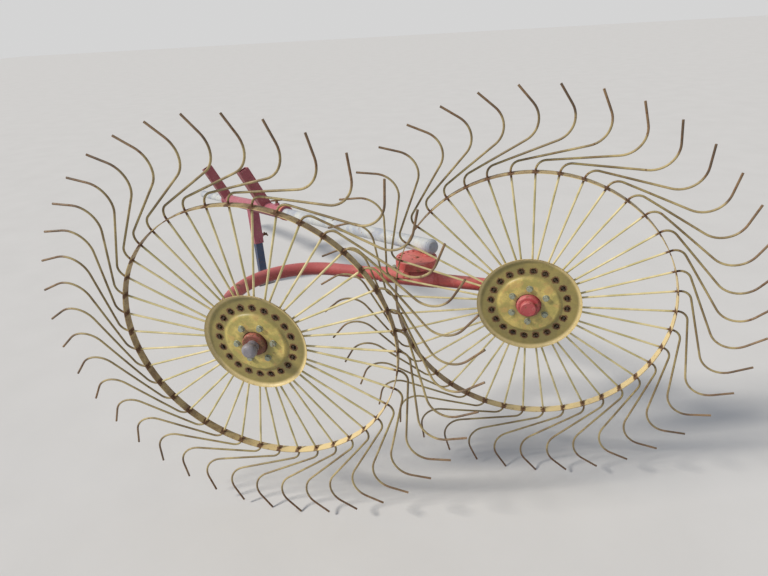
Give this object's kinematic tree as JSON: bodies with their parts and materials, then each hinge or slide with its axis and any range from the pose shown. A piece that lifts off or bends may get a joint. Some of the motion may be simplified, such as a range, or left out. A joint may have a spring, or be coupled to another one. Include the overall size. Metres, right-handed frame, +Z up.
{
  "type": "two-wheel finger wheel rake unit",
  "caption": "Hay rake unit: spring-tine raking wheels on a bent arm that rocks in a swivel bracket, at the end of a long boom in a hitch sleeve with a stand leg.",
  "frame": {"origin": "on the ground, below the middle of the unit's outer box", "axes": "+Z up, +X across the wheels to the right, +Y away from the wheels' front"},
  "size_m": [3.4702, 2.9764, 1.4614],
  "materials": {
    "tine_steel": "worn yellow paint over rusty spring steel",
    "yellow_paint": "faded mustard paint with rust",
    "red_paint": "sun-bleached red paint",
    "boom_paint": "weathered off-white paint",
    "blue_paint": "dark blue paint, dull",
    "bare_steel": "rusty bare steel"
  },
  "bodies": {
    "hitch": {"hitch_sleeve": "red_paint", "near_hitch_collar": "red_paint", "far_hitch_collar": "red_paint", "right_hitch_bar": "red_paint", "left_hitch_bar": "red_paint", "leg_tube": "red_paint", "leg_clamp_screw": "bare_steel", "boom_clamp_screw": "bare_steel"},
    "boom": {"boom_tube": "boom_paint", "boom_near_cap": "boom_paint", "boom_far_cap": "boom_paint", "index_plate": "red_paint", "boom_boss": "red_paint", "swivel_pin": "bare_steel", "swivel_nut": "bare_steel"},
    "stand_leg": {"stand_leg": "blue_paint", "foot_plate": "blue_paint"},
    "swivel_bracket": {"pivot_sleeve": "red_paint", "bracket_strap": "red_paint", "bracket_flange": "red_paint"},
    "arm": {"arm_tube": "red_paint", "arm_end_cap": "red_paint", "left_crank_plate": "red_paint", "left_spindle": "bare_steel", "right_boss": "red_paint", "right_spindle": "bare_steel", "left_collar": "red_paint", "right_collar": "red_paint"},
    "left_wheel": {"left_tine_wheel": "tine_steel", "left_front_disc": "yellow_paint", "left_clamp_disc": "yellow_paint", "left_hub": "red_paint", "left_hub_cap": "bare_steel"},
    "right_wheel": {"right_tine_wheel": "tine_steel", "right_front_disc": "yellow_paint", "right_clamp_disc": "yellow_paint", "right_hub": "red_paint", "right_hub_cap": "red_paint"}
  },
  "joints": [
    {"name": "boom_slide", "type": "slide", "parent": "hitch", "child": "boom", "axis": [-0.6945, 0.7019, -0.1582], "range_m": [-0.3, 0.3]},
    {"name": "leg_slide", "type": "slide", "parent": "hitch", "child": "stand_leg", "axis": [0, 0, 1], "range_m": [0, 0.12]},
    {"name": "bracket_swivel", "type": "hinge", "parent": "boom", "child": "swivel_bracket", "pos_m": [0.59909, -0.94125, 0.83795], "axis": [0, 0, 1], "range_deg": [-30, 30]},
    {"name": "arm_rock", "type": "hinge", "parent": "swivel_bracket", "child": "arm", "pos_m": [0.59909, -0.94125, 0.76995], "axis": [0.9981, 0, -0.0619], "range_deg": [0, 20]},
    {"name": "left_wheel_spin", "type": "hinge", "parent": "arm", "child": "left_wheel", "pos_m": [0.16009, -1.39825, 0.73325], "axis": [0, 0.9981, 0.061], "continuous": true},
    {"name": "right_wheel_spin", "type": "hinge", "parent": "arm", "child": "right_wheel", "pos_m": [1.00309, -1.02825, 0.73325], "axis": [0, 0.9981, 0.061], "continuous": true}
  ]
}
